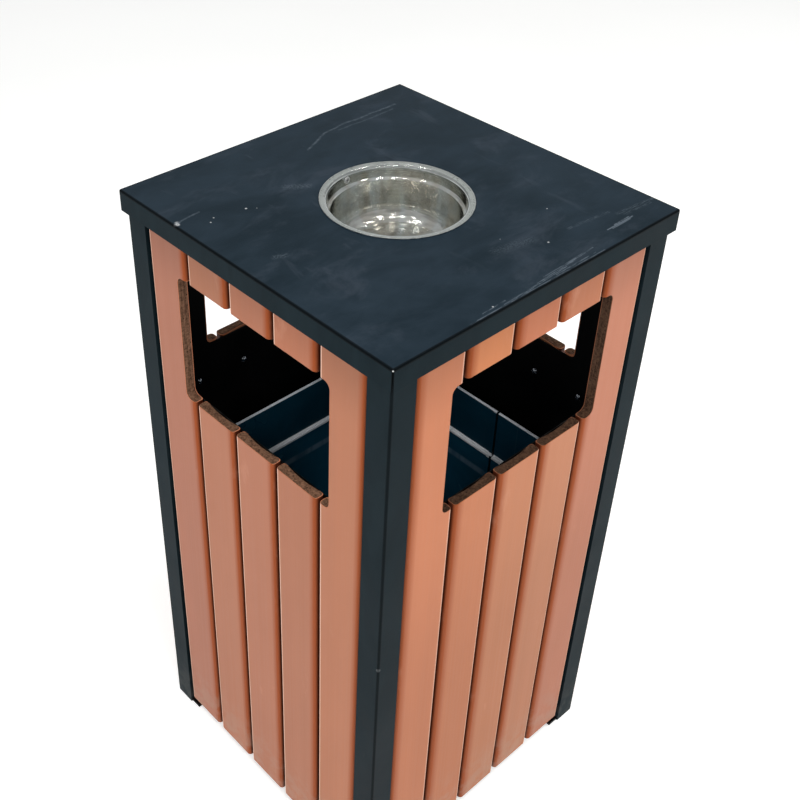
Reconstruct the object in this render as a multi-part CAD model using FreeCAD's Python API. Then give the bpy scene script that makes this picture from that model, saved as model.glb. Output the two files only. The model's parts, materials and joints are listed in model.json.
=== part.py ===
import FreeCAD, Part
import math
import os

# Square litter bin with a stub-out bowl in its cover, slatted walls on four
# sides, a throw-in opening in each side, a locking access door and a
# lift-out inner bin.  Millimetres, +Z up, origin on the floor at the centre.
# The front face looks towards -Y, the door is the rear face (+Y).

os.makedirs("parts", exist_ok=True)
V = FreeCAD.Vector

# ---- driving dimensions ----------------------------------------------------
HEIGHT = 800.0            # floor to top of the cover
COVER_HALF = 200.0        # half the width of the square cover
COVER_T = 1.5             # cover sheet
COVER_SKIRT = 24.0        # depth of the folded skirt
COVER_BEND = 1.8          # outside bend radius along the cover's edges
COVER_SEAM = 0.7          # open seam at each skirt corner
BODY_HALF = 195.0         # half the width over the corner posts

POST_LEG = 30.0           # leg of a post on each face
POST_T = 2.0              # post sheet
POST_LIP = 13.5           # inward lip, measured from the outer face
POST_BEND = 2.4           # outside bend radius of the arris
RING_T = 3.0              # top frame ring
RING_IN = 160.0           # half the ring's clear opening

SLAT_W = 61.4
SLAT_GAP = 4.5
SLAT_T = 12.0
SLAT_OUT = 193.5          # outer face of the slats
SLAT_R_OUT = 4.6          # long outer arris
SLAT_R_IN = 3.0           # long inner arris
HOLLOW = 2.3              # depth of the hollow in the back of a slat
HOLLOW_W = 50.0
SLAT_Z0 = 14.0
SLAT_Z1 = 791.0
N_SLATS = 5

OPEN_HALF = 116.0         # half width of the throw-in opening
OPEN_Z0 = 577.0
OPEN_Z1 = 733.0
OPEN_R = 8.0              # corner radius of the opening

PANEL_T = 1.5             # backing sheet behind the slats
PANEL_HALF = 179.5
PANEL_Z0 = 12.0
PANEL_WIN = 2.0           # backing window is this much larger all round

SCREW_ROWS = (45.0, 290.0, 528.0, 752.0)
SCREW_R = 2.0
SCREW_HEAD_R = 4.0
SCREW_HEAD_H = 2.3
SCREW_IN = 9.0            # bite into the slat

FLOOR_Z = 26.0            # top of the floor tray
FLOOR_T = 2.0
FOOT_T = 4.0
ANCHOR = 160.0            # anchor holes at +-ANCHOR
ANCHOR_R = 6.0

BOWL_RIM_R = 79.0
BOWL_HOLE_R = 73.0
BOWL_T = 1.0
BOWL_FLOOR_Z = 741.0

HINGE_X = -155.0          # door axis
HINGE_Y = 187.0
PIN_R = 4.0
PIN_CLEAR = 0.05
DOOR_HALF = 161.0
DOOR_SLAT_Z1 = 770.0

LOCK_X = 146.0
LOCK_Z = 556.0
PLUG_R = 6.0
PLUG_CLEAR = 0.06
CAM_LEN = 28.0

LINER_HALF = 159.0        # upper wall, outside
LINER_LOW_HALF = 154.5    # lower wall, outside
LINER_T = 1.5
LINER_Z0 = FLOOR_Z + 0.3
LINER_Z1 = 457.0
LINER_LEDGE_Z = 388.0
LEDGE_BEND = 2.2
HEM = 2.0
HEM_H = 6.0
BAIL_R = 3.0              # wire radius
BAIL_ARM = 166.0
BAIL_X = 168.0
BAIL_Z = 432.0
BAIL_REST = 12.0          # degrees below horizontal
EAR_HOLE_CLEAR = 0.07


# ---- helpers ---------------------------------------------------------------
def box(x0, y0, z0, x1, y1, z1):
    return Part.makeBox(x1 - x0, y1 - y0, z1 - z0, V(x0, y0, z0))


def cyl(r, p, d, h):
    return Part.makeCylinder(r, h, V(*p), V(*d))


def turned(shape, k):
    """The same piece on face k: 0 front, 1 left, 2 rear, 3 right."""
    s = shape.copy()
    s.rotate(V(0, 0, 0), V(0, 0, 1), -90.0 * k)
    return s


def vertical_edges(shape, test):
    out = []
    for e in shape.Edges:
        a, b = e.Vertexes[0].Point, e.Vertexes[-1].Point
        if abs(a.x - b.x) < 1e-6 and abs(a.y - b.y) < 1e-6 and abs(a.z - b.z) > 1e-3:
            if test(a.x, a.y):
                out.append(e)
    return out


def rounded_prism_y(x0, x1, z0, z1, r, y0, y1):
    """A box along Y whose four edges along Y are rounded."""
    b = box(x0, y0, z0, x1, y1, z1)
    es = [e for e in b.Edges
          if abs(e.Vertexes[0].Point.y - e.Vertexes[-1].Point.y) > 1e-3]
    return b.makeFillet(r, es)


def rounded_prism_z(half, r, z0, z1):
    b = box(-half, -half, z0, half, half, z1)
    return b.makeFillet(r, vertical_edges(b, lambda x, y: True))


def clean(s):
    try:
        return s.removeSplitter()
    except Exception:
        return s


def out(name, shapes):
    if not isinstance(shapes, (list, tuple)):
        shapes = [shapes]
    solids = []
    for s in shapes:
        solids += s.Solids
    for s in solids:
        if not s.isValid():
            print("not valid:", name)
    shape = solids[0] if len(solids) == 1 else Part.makeCompound(solids)
    shape.exportStep("parts/%s.step" % name)
    bb = shape.BoundBox
    print("%-28s %2d solids  x %.1f..%.1f y %.1f..%.1f z %.1f..%.1f" % (
        name, len(solids), bb.XMin, bb.XMax, bb.YMin, bb.YMax, bb.ZMin, bb.ZMax))
    return solids


def revolve(points):
    """Solid of revolution about Z from a closed (r, z) outline.  An entry is
    (r, z), or (rm, zm, r, z) for an arc through (rm, zm)."""
    edges = []
    first = V(points[0][0], 0, points[0][1])
    cur = first
    for p in list(points[1:]) + [points[0]]:
        if len(p) == 2:
            nxt = V(p[0], 0, p[1])
            if cur.distanceToPoint(nxt) > 1e-7:
                edges.append(Part.LineSegment(cur, nxt).toShape())
        else:
            nxt = V(p[2], 0, p[3])
            edges.append(Part.Arc(cur, V(p[0], 0, p[1]), nxt).toShape())
        cur = nxt
    face = Part.Face(Part.Wire(edges))
    return face.revolve(V(0, 0, 0), V(0, 0, 1), 360)


# ---- cover -----------------------------------------------------------------
H = HEIGHT
UNDER = H - COVER_T
c = COVER_HALF
top = box(-c, -c, H - COVER_SKIRT, c, c, H)
edges = vertical_edges(top, lambda x, y: True)
edges += [e for e in top.Edges
          if all(abs(v.Point.z - H) < 1e-6 for v in e.Vertexes)]
top = top.makeFillet(COVER_BEND, edges)
top = top.cut(box(-c + COVER_T, -c + COVER_T, H - COVER_SKIRT - 1,
                  c - COVER_T, c - COVER_T, UNDER))
for k in range(4):
    # open seam down each corner of the skirt, square to the diagonal
    slit = box(-6.0, -COVER_SEAM / 2.0, H - COVER_SKIRT - 1, 6.0, COVER_SEAM / 2.0,
               H - COVER_BEND - 0.3)
    slit.rotate(V(0, 0, 0), V(0, 0, 1), 45.0 + 90.0 * k)
    a = math.radians(45.0 + 90.0 * k)
    slit.translate(V(c * math.sqrt(2) * math.cos(a), c * math.sqrt(2) * math.sin(a), 0))
    top = top.cut(slit)
top = top.cut(cyl(BOWL_HOLE_R, (0, 0, H - 5), (0, 0, 1), 10))
out("top_cover", top)

# welded studs under the cover, nuts under the ring
STUDS = [(170.0, 0.0), (-170.0, 0.0), (0.0, 170.0), (0.0, -170.0)]
RING_Z = UNDER - RING_T
studs, nuts = [], []
for x, y in STUDS:
    studs.append(cyl(2.5, (x, y, RING_Z - 9.0), (0, 0, 1), RING_T + 9.0))
    nut = Part.makeCylinder(4.6, 4.0, V(x, y, RING_Z - 4.0), V(0, 0, 1))
    hexa = Part.makePolygon([V(x + 4.6 * math.cos(math.radians(60 * i)),
                               y + 4.6 * math.sin(math.radians(60 * i)),
                               RING_Z - 4.0) for i in range(7)])
    nut = Part.Face(hexa).extrude(V(0, 0, 4.0))
    nut = nut.cut(cyl(2.5, (x, y, RING_Z - 5.0), (0, 0, 1), 6.0))
    nuts.append(nut)
out("cover_studs", studs)
out("cover_nuts", nuts)

# ---- bowl ------------------------------------------------------------------
zf = BOWL_FLOOR_Z
t = BOWL_T
# body outside, then the room inside it
body = revolve([
    (0.0, zf - t), (46.0, zf - t), (61.0, zf + 5.2, 66.6, zf + 20.0),
    (68.4, H - 15.0), (69.6, H - 13.6, 71.2, H - 12.6), (72.2, H - 4.0),
    (72.5, H), (BOWL_RIM_R, H), (BOWL_RIM_R, H + 1.5), (0.0, H + 1.5)])
room = revolve([
    (0.0, zf), (45.6, zf), (60.2, zf + 6.0, 65.6, zf + 20.2),
    (67.3, H - 14.3), (68.6, H - 12.8, 70.2, H - 11.8), (71.2, H - 3.6),
    (71.9, H - 0.4, 73.8, H + 0.7), (BOWL_RIM_R - 1.3, H + 1.0),
    (BOWL_RIM_R - 1.1, H + 3.0), (0.0, H + 3.0)])
bowl = body.cut(room)
rim = [e for e in bowl.Edges if isinstance(e.Curve, Part.Circle)
       and abs(e.Curve.Radius - BOWL_RIM_R) < 1e-4
       and abs(e.Vertexes[0].Point.z - (H + 1.5)) < 1e-4]
bowl = bowl.makeFillet(0.5, rim)

# one hollow rivet holds the bowl's neck to a tab under the cover
RIV_A = math.radians(93.3)
RIV_Z = H - 5.9
ca, sa = math.cos(RIV_A), math.sin(RIV_A)
neck_in, neck_out = 70.75, 71.75


def rivet_shape():
    r = revolve([
        (1.5, -1.3), (2.2, -1.3), (3.5, -1.0, 3.8, -0.1), (3.8, 0.0), (2.4, 0.0),
        (2.4, 3.5), (2.85, 4.0, 2.4, 4.7), (1.5, 5.0)])
    # axis along +X, head at x = 0
    r.rotate(V(0, 0, 0), V(0, 1, 0), 90)
    return r


riv = rivet_shape()
riv.translate(V(neck_in - 0.15, 0, 0))
riv.rotate(V(0, 0, 0), V(0, 0, 1), math.degrees(RIV_A))
riv.translate(V(0, 0, RIV_Z))
hole = cyl(2.4, (ca * 60, sa * 60, RIV_Z), (ca, sa, 0), 25)
bowl = bowl.cut(hole)
tab = box(neck_out + 0.8, -8.0, H - 14.0, neck_out + 2.3, 8.0, UNDER)
tab = tab.fuse(box(neck_out + 2.3, -8.0, UNDER - 1.5, neck_out + 12.0, 8.0, UNDER))
tab.rotate(V(0, 0, 0), V(0, 0, 1), math.degrees(RIV_A))
tab = tab.cut(hole)
out("ashtray_bowl", bowl)
out("bowl_rivet", riv)
out("bowl_tab", clean(tab))

# ---- top frame ring --------------------------------------------------------
ring = box(-BODY_HALF, -BODY_HALF, RING_Z, BODY_HALF, BODY_HALF, UNDER)
ring = ring.makeFillet(POST_BEND, vertical_edges(ring, lambda x, y: True))
inner = box(-RING_IN, -RING_IN, RING_Z - 1, RING_IN, RING_IN, UNDER + 1)
inner = inner.makeFillet(10.0, vertical_edges(inner, lambda x, y: True))
ring = ring.cut(inner)
ring = ring.cut(cyl(PIN_R + PIN_CLEAR, (HINGE_X, HINGE_Y, RING_Z - 1), (0, 0, 1), RING_T + 2))
for x, y in STUDS:
    ring = ring.cut(cyl(2.75, (x, y, RING_Z - 1), (0, 0, 1), RING_T + 2))
out("top_frame", ring)

# ---- corner posts ----------------------------------------------------------
b = BODY_HALF


def post():
    leg_a = box(-b, -b, 0, -b + POST_LEG, -b + POST_T, RING_Z)
    leg_b = box(-b, -b, 0, -b + POST_T, -b + POST_LEG, RING_Z)
    lip_a = box(-b + POST_LEG - POST_T, -b, 5.0, -b + POST_LEG, -b + POST_LIP, RING_Z)
    lip_b = box(-b, -b + POST_LEG - POST_T, 5.0, -b + POST_LIP, -b + POST_LEG, RING_Z)
    p = clean(leg_a.fuse([leg_b, lip_a, lip_b]))
    p = p.makeFillet(POST_BEND, vertical_edges(
        p, lambda x, y: abs(x + b) < 1e-6 and abs(y + b) < 1e-6))
    return p


for k, name in enumerate(("front_left", "rear_left", "rear_right", "front_right")):
    out("corner_post_" + name, turned(post(), k))

feet = []
for k in range(4):
    f = box(-b + POST_T, -b + POST_T, 0, -150.0, -150.0, FOOT_T)
    f = f.cut(cyl(ANCHOR_R, (-ANCHOR, -ANCHOR, -1), (0, 0, 1), FOOT_T + 2))
    feet.append(turned(f, k))
out("foot_plates", feet)

# ---- slats -----------------------------------------------------------------
PITCH = SLAT_W + SLAT_GAP
X0 = -(N_SLATS * SLAT_W + (N_SLATS - 1) * SLAT_GAP) / 2.0
SLAT_IN = SLAT_OUT - SLAT_T
CENTRES = [X0 + SLAT_W / 2.0 + i * PITCH for i in range(N_SLATS)]


HOLLOW_R = ((HOLLOW_W / 2.0) ** 2 + HOLLOW ** 2) / (2.0 * HOLLOW)


def slat(i, z0, z1, round_end=0, hollow=True):
    """Slat i of the front face. round_end +1 eases the top end, -1 the lower."""
    x0 = X0 + i * PITCH
    s = box(x0, -SLAT_OUT, z0, x0 + SLAT_W, -SLAT_IN, z1)
    s = s.makeFillet(SLAT_R_OUT, vertical_edges(s, lambda x, y: abs(y + SLAT_OUT) < 1e-6))
    s = s.makeFillet(SLAT_R_IN, vertical_edges(s, lambda x, y: abs(y + SLAT_IN) < 1e-6))
    if hollow:
        # shallow hollow down the back of the extrusion
        s = s.cut(cyl(HOLLOW_R, (x0 + SLAT_W / 2.0, -SLAT_IN - HOLLOW + HOLLOW_R, z0 - 5.0),
                      (0, 0, 1), z1 - z0 + 10.0))
    if round_end:
        zz = z1 if round_end > 0 else z0
        es = [e for e in s.Edges if all(abs(v.Point.z - zz) < 1e-6 for v in e.Vertexes)]
        s = s.makeFillet(0.8, es)
    return s


def screw(x, z):
    """Button-head screw with a small cross recess."""
    y0 = -SLAT_IN + PANEL_T
    y1 = y0 + SCREW_HEAD_H
    r = (SCREW_HEAD_R ** 2 + SCREW_HEAD_H ** 2) / (2.0 * SCREW_HEAD_H)
    head = Part.makeSphere(r, V(x, y1 - r, z)).common(
        box(x - 8.0, y0, z - 8.0, x + 8.0, y1 + 1.0, z + 8.0))
    head = head.cut(box(x - 1.5, y1 - 0.9, z - 0.35, x + 1.5, y1 + 0.1, z + 0.35))
    head = head.cut(box(x - 0.35, y1 - 0.9, z - 1.5, x + 0.35, y1 + 0.1, z + 1.5))
    shank = cyl(SCREW_R, (x, -SLAT_IN - SCREW_IN, z), (0, 1, 0), SCREW_IN + PANEL_T)
    return clean(head.fuse(shank))


def shank_hole(x, z):
    return cyl(SCREW_R, (x, -SLAT_IN - SCREW_IN, z), (0, 1, 0), SCREW_IN + PANEL_T + 0.5)


opening = rounded_prism_y(-OPEN_HALF, OPEN_HALF, OPEN_Z0, OPEN_Z1, OPEN_R, -210, -170)
window = rounded_prism_y(-OPEN_HALF - PANEL_WIN, OPEN_HALF + PANEL_WIN,
                         OPEN_Z0 - PANEL_WIN, OPEN_Z1 + PANEL_WIN, OPEN_R, -210, -170)


def face_set(z1):
    """Slats and screws of one face, built on the front."""
    stile, short, lower, screws = [], [], [], []
    for i in (0, N_SLATS - 1):
        # the notched slats at the posts are a flat-backed section
        s = slat(i, SLAT_Z0, z1, hollow=False).cut(opening)
        for z in SCREW_ROWS:
            s = s.cut(shank_hole(CENTRES[i], z))
            screws.append(screw(CENTRES[i], z))
        stile.append(s)
    for i in range(1, N_SLATS - 1):
        s = slat(i, OPEN_Z1, z1, -1)
        s = s.cut(shank_hole(CENTRES[i], SCREW_ROWS[-1]))
        short.append(s)
        s = slat(i, SLAT_Z0, OPEN_Z0, 1)
        for z in SCREW_ROWS[:-1]:
            s = s.cut(shank_hole(CENTRES[i], z))
        lower.append(s)
        for z in SCREW_ROWS:
            screws.append(screw(CENTRES[i], z))
    return stile, short, lower, screws


def panel(half, z0, z1):
    p = box(-half, -SLAT_IN, z0, half, -SLAT_IN + PANEL_T, z1)
    p = p.cut(window)
    for x in CENTRES:
        for z in SCREW_ROWS:
            p = p.cut(shank_hole(x, z))
    return p


stile, short, lower, screws = face_set(SLAT_Z1)
back = panel(PANEL_HALF, PANEL_Z0, RING_Z)
for k, name in ((0, "front"), (1, "left"), (3, "right")):
    out(name + "_backing_panel", turned(back, k))
    out(name + "_stile_slats", [turned(s, k) for s in stile])
    out(name + "_short_slats", [turned(s, k) for s in short])
    out(name + "_lower_slats", [turned(s, k) for s in lower])
    out(name + "_slat_screws", [turned(s, k) for s in screws])

# ---- floor tray ------------------------------------------------------------
PANEL_IN = SLAT_IN - PANEL_T
fx, fy0, fy1 = PANEL_IN, -PANEL_IN, 175.0
clip = 34.0
f0 = FLOOR_Z - FLOOR_T
tray = box(-fx, fy0, 12.0, fx, fy1, FLOOR_Z)
tray = tray.cut(box(-fx + FLOOR_T, fy0 + FLOOR_T, 11.0, fx - FLOOR_T, fy1 - FLOOR_T, f0))
for sx in (-1, 1):
    for sy in (-1, 1):
        ya, yb = sy * (fx - clip), sy * 200.0
        xa, xb = sx * (fx - clip), sx * 200.0
        tray = tray.cut(box(min(xa, xb), min(ya, yb), 0, max(xa, xb), max(ya, yb), 60))
for x, y in ((0, 0), (90, 90), (-90, 90), (90, -90), (-90, -90)):
    tray = tray.cut(cyl(5.0, (x, y, 10), (0, 0, 1), 30))
out("floor_tray", clean(tray))

# ---- door ------------------------------------------------------------------
stile, short, lower, screws = face_set(DOOR_SLAT_Z1)
sheet = panel(DOOR_HALF, SLAT_Z0 - 2.5, DOOR_SLAT_Z1 + 3.0)
low = box(-DOOR_HALF, -SLAT_OUT + 1.0, SLAT_Z0 - 2.5, DOOR_HALF, -SLAT_IN, SLAT_Z0 - 0.5)
high = box(-DOOR_HALF, -SLAT_OUT + 1.0, DOOR_SLAT_Z1 + 1.0, DOOR_HALF, -SLAT_IN, DOOR_SLAT_Z1 + 3.0)
sheet = clean(sheet.fuse([low, high]))
sheet = turned(sheet, 2)
stile = [turned(s, 2) for s in stile]
# lock hole through the slat at the free edge and through the sheet
lock_hole = cyl(9.5, (LOCK_X, 160.0, LOCK_Z), (0, 1, 0), 45.0)
sheet = sheet.cut(lock_hole)
stile = [s.cut(lock_hole) if s.BoundBox.Center.x > 0 else s for s in stile]
out("door_panel", sheet)
out("door_stile_slats", stile)
out("door_short_slats", [turned(s, 2) for s in short])
out("door_lower_slats", [turned(s, 2) for s in lower])
out("door_slat_screws", [turned(s, 2) for s in screws])

door_low = SLAT_Z0 - 2.5
door_high = DOOR_SLAT_Z1 + 3.0
pin_low = cyl(PIN_R, (HINGE_X, HINGE_Y, 4.7), (0, 0, 1), door_low - 4.7)
pin_high = cyl(PIN_R, (HINGE_X, HINGE_Y, door_high), (0, 0, 1), UNDER - 0.6 - door_high)
out("door_pivot_pins", [pin_low, pin_high])

bracket = box(-b + POST_LEG, 171.0, 5.0, -143.0, b - POST_T, 8.0)
bracket = bracket.makeFillet(4.0, vertical_edges(bracket, lambda x, y: x > -150.0))
bracket = bracket.cut(cyl(PIN_R + PIN_CLEAR, (HINGE_X, HINGE_Y, 0), (0, 0, 1), 20))
out("lower_pivot_bracket", bracket)
washer = cyl(7.5, (HINGE_X, HINGE_Y, 8.0), (0, 0, 1), 2.9)
washer = washer.cut(cyl(PIN_R + 0.3, (HINGE_X, HINGE_Y, 7.0), (0, 0, 1), 5))
out("pivot_washer", washer)

# door stops on the right-hand panel
stops = []
for z in (62.0, 748.0):
    s = box(150.0, PANEL_IN - 3.0, z, PANEL_IN, PANEL_IN - 0.5, z + 20.0)
    stops.append(s)
out("door_stops", stops)

# ---- lock ------------------------------------------------------------------
y_out = SLAT_OUT
housing = cyl(9.4, (LOCK_X, 170.0, LOCK_Z), (0, 1, 0), y_out - 170.0)
flange = cyl(12.0, (LOCK_X, y_out, LOCK_Z), (0, 1, 0), 2.0)
flange = flange.makeFillet(0.8, [e for e in flange.Edges if isinstance(e.Curve, Part.Circle)
                                 and abs(e.Vertexes[0].Point.y - (y_out + 2.0)) < 1e-6])
housing = clean(housing.fuse(flange))
housing = housing.cut(cyl(PLUG_R + PLUG_CLEAR, (LOCK_X, 165.0, LOCK_Z), (0, 1, 0), 40.0))
out("lock_housing", housing)
hexa = Part.makePolygon([V(LOCK_X + 13.4 * math.cos(math.radians(60 * i)), PANEL_IN - 5.0,
                           LOCK_Z + 13.4 * math.sin(math.radians(60 * i))) for i in range(7)])
nut = Part.Face(hexa).extrude(V(0, 5.0, 0))
nut = nut.cut(cyl(9.4, (LOCK_X, 160.0, LOCK_Z), (0, 1, 0), 40.0))
out("lock_nut", nut)

plug = cyl(PLUG_R, (LOCK_X, 167.0, LOCK_Z), (0, 1, 0), y_out + 1.2 - 167.0)
tri = Part.makePolygon([V(LOCK_X + 3.9 * math.cos(math.radians(90 + 120 * i)), y_out - 4.0,
                          LOCK_Z + 3.9 * math.sin(math.radians(90 + 120 * i))) for i in range(4)])
socket = Part.Face(tri).extrude(V(0, 10.0, 0))
plug = plug.cut(socket)
plug = plug.cut(cyl(2.5, (LOCK_X, 160.0, LOCK_Z), (0, 1, 0), 17.0))
out("lock_plug", plug)

CAM_Y0, CAM_Y1 = 164.0, 167.0
cam = box(LOCK_X - 7.0, CAM_Y0, LOCK_Z - CAM_LEN + 7.0, LOCK_X + 7.0, CAM_Y1, LOCK_Z)
cam = cam.fuse([cyl(7.0, (LOCK_X, CAM_Y0, LOCK_Z - CAM_LEN + 7.0), (0, 1, 0), 3.0),
                cyl(7.0, (LOCK_X, CAM_Y0, LOCK_Z), (0, 1, 0), 3.0)])
cam = clean(cam)
cam = cam.cut(cyl(2.5, (LOCK_X, 160.0, LOCK_Z), (0, 1, 0), 20.0))
out("lock_cam", cam)
cs = cyl(4.4, (LOCK_X, 161.6, LOCK_Z), (0, 1, 0), 2.4)
cs = cs.makeFillet(1.0, [e for e in cs.Edges if isinstance(e.Curve, Part.Circle)
                         and abs(e.Vertexes[0].Point.y - 161.6) < 1e-6])
cs = cs.fuse(cyl(2.5, (LOCK_X, 164.0, LOCK_Z), (0, 1, 0), 13.0))
cs = clean(cs).cut(box(LOCK_X - 2.6, 161.0, LOCK_Z - 0.5, LOCK_X + 2.6, 162.7, LOCK_Z + 0.5))
out("cam_screw", cs)

strike_z0, strike_z1 = LOCK_Z - 25.0, LOCK_Z + 25.0
strike_lip = box(166.0, 168.0, strike_z0, PANEL_IN, 171.0, strike_z1)
strike_leg = box(177.0, 150.0, strike_z0, PANEL_IN, 168.0, strike_z1)
out("lock_strike", [strike_leg, strike_lip])

# ---- inner bin -------------------------------------------------------------
lo_r, up_r = 10.0, 13.0
outer = rounded_prism_z(LINER_LOW_HALF, lo_r, LINER_Z0, LINER_LEDGE_Z)
outer = outer.fuse([rounded_prism_z(LINER_HALF, up_r, LINER_LEDGE_Z - LINER_T, LINER_Z1),
                    rounded_prism_z(LINER_HALF + HEM, up_r + HEM, LINER_Z1 - HEM_H, LINER_Z1)])
outer = clean(outer)
hollow = rounded_prism_z(LINER_LOW_HALF - LINER_T, lo_r - LINER_T, LINER_Z0 + LINER_T, LINER_LEDGE_Z + 1)
hollow = hollow.fuse(rounded_prism_z(LINER_HALF - LINER_T, up_r - LINER_T, LINER_LEDGE_Z, LINER_Z1 + 5))
bin_ = outer.cut(clean(hollow))
rim = [e for e in bin_.Edges if all(abs(v.Point.z - LINER_Z1) < 1e-6 for v in e.Vertexes)]
bin_ = bin_.makeFillet(0.9, rim)
# the bend at the inner edge of the ledge
lip = [e for e in bin_.Edges if all(abs(v.Point.z - LINER_LEDGE_Z) < 1e-6 for v in e.Vertexes)
       and max(abs(e.BoundBox.XMax), abs(e.BoundBox.XMin), abs(e.BoundBox.YMax), abs(e.BoundBox.YMin))
       < LINER_LOW_HALF - LINER_T + 0.5]
bin_ = bin_.makeFillet(LEDGE_BEND, lip)
# lapped sheet joint on the right-hand wall
w = LINER_HALF - LINER_T
bin_ = bin_.fuse(box(w - 0.8, -37.0, LINER_LEDGE_Z - 0.2, w + 0.3, -30.0, LINER_Z1 - 1.2))
w = LINER_LOW_HALF - LINER_T
bin_ = bin_.fuse(box(w - 0.8, -37.0, LINER_Z0 + 1.0, w + 0.3, -30.0, LINER_LEDGE_Z))
out("inner_bin", clean(bin_))

ears = []
for sx in (-1, 1):
    xa, xb = sx * LINER_HALF, sx * (LINER_HALF + 4.0)
    e = box(min(xa, xb), -14.0, BAIL_Z - 14.0, max(xa, xb), 14.0, BAIL_Z + 14.0)
    e = e.makeFillet(5.0, [g for g in e.Edges if abs(g.Vertexes[0].Point.x - g.Vertexes[-1].Point.x) > 1e-3])
    e = e.cut(cyl(BAIL_R + EAR_HOLE_CLEAR, (-200.0, 0, BAIL_Z), (1, 0, 0), 400.0))
    ears.append(e)
out("bail_ears", ears)

# bail of round wire, its ends turned in through the ears
BEND = 5.0
CORNER = 14.0
a = math.radians(-BAIL_REST)
d = V(0, -math.cos(a), math.sin(a))
P = V(BAIL_X, 0, BAIL_Z)
Q = P + d * BAIL_ARM
pts = []


def mirror(p):
    return V(-p.x, p.y, p.z)


ex = V(1, 0, 0)
s = math.sqrt(0.5)
end = V(LINER_HALF + 0.5, 0, BAIL_Z)
a0 = V(BAIL_X - BEND, 0, BAIL_Z)
a2 = P + d * BEND
a1 = V(BAIL_X - BEND, 0, BAIL_Z) + d * BEND + ex * (BEND * s) - d * (BEND * s)
b0 = P + d * (BAIL_ARM - CORNER)
b2 = Q - ex * CORNER
cc = P + d * (BAIL_ARM - CORNER) - ex * CORNER
b1 = cc + ex * (CORNER * s) + d * (CORNER * s)
half_edges = [
    Part.LineSegment(end, a0).toShape(), Part.Arc(a0, a1, a2).toShape(),
    Part.LineSegment(a2, b0).toShape(), Part.Arc(b0, b1, b2).toShape()]
other = [
    Part.Arc(mirror(b2), mirror(b1), mirror(b0)).toShape(),
    Part.LineSegment(mirror(b0), mirror(a2)).toShape(),
    Part.Arc(mirror(a2), mirror(a1), mirror(a0)).toShape(),
    Part.LineSegment(mirror(a0), mirror(end)).toShape()]
path = Part.Wire(half_edges + [Part.LineSegment(b2, mirror(b2)).toShape()] + other)
circle = Part.Wire([Part.Circle(end, ex, BAIL_R).toShape()])
bail = path.makePipeShell([circle], True, False)
if bail.Volume < 0:
    bail.reverse()
print("bail volume / expected: %.4f" % (bail.Volume / (math.pi * BAIL_R ** 2 * path.Length)))
out("bail_handle", bail)
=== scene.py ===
import json
import math

import bpy
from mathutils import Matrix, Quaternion, Vector

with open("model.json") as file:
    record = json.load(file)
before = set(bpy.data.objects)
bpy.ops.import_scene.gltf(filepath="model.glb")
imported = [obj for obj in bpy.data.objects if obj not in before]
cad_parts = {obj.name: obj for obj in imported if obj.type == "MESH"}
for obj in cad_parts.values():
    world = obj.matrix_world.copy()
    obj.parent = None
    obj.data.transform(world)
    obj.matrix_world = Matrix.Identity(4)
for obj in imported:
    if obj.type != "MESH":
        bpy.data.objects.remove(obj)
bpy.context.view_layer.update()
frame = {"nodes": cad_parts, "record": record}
NODES = frame["nodes"]


# ---------------------------------------------------------------------------
# small node-graph helper
# ---------------------------------------------------------------------------
def is_sock(x):
    return isinstance(x, bpy.types.NodeSocket)


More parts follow.
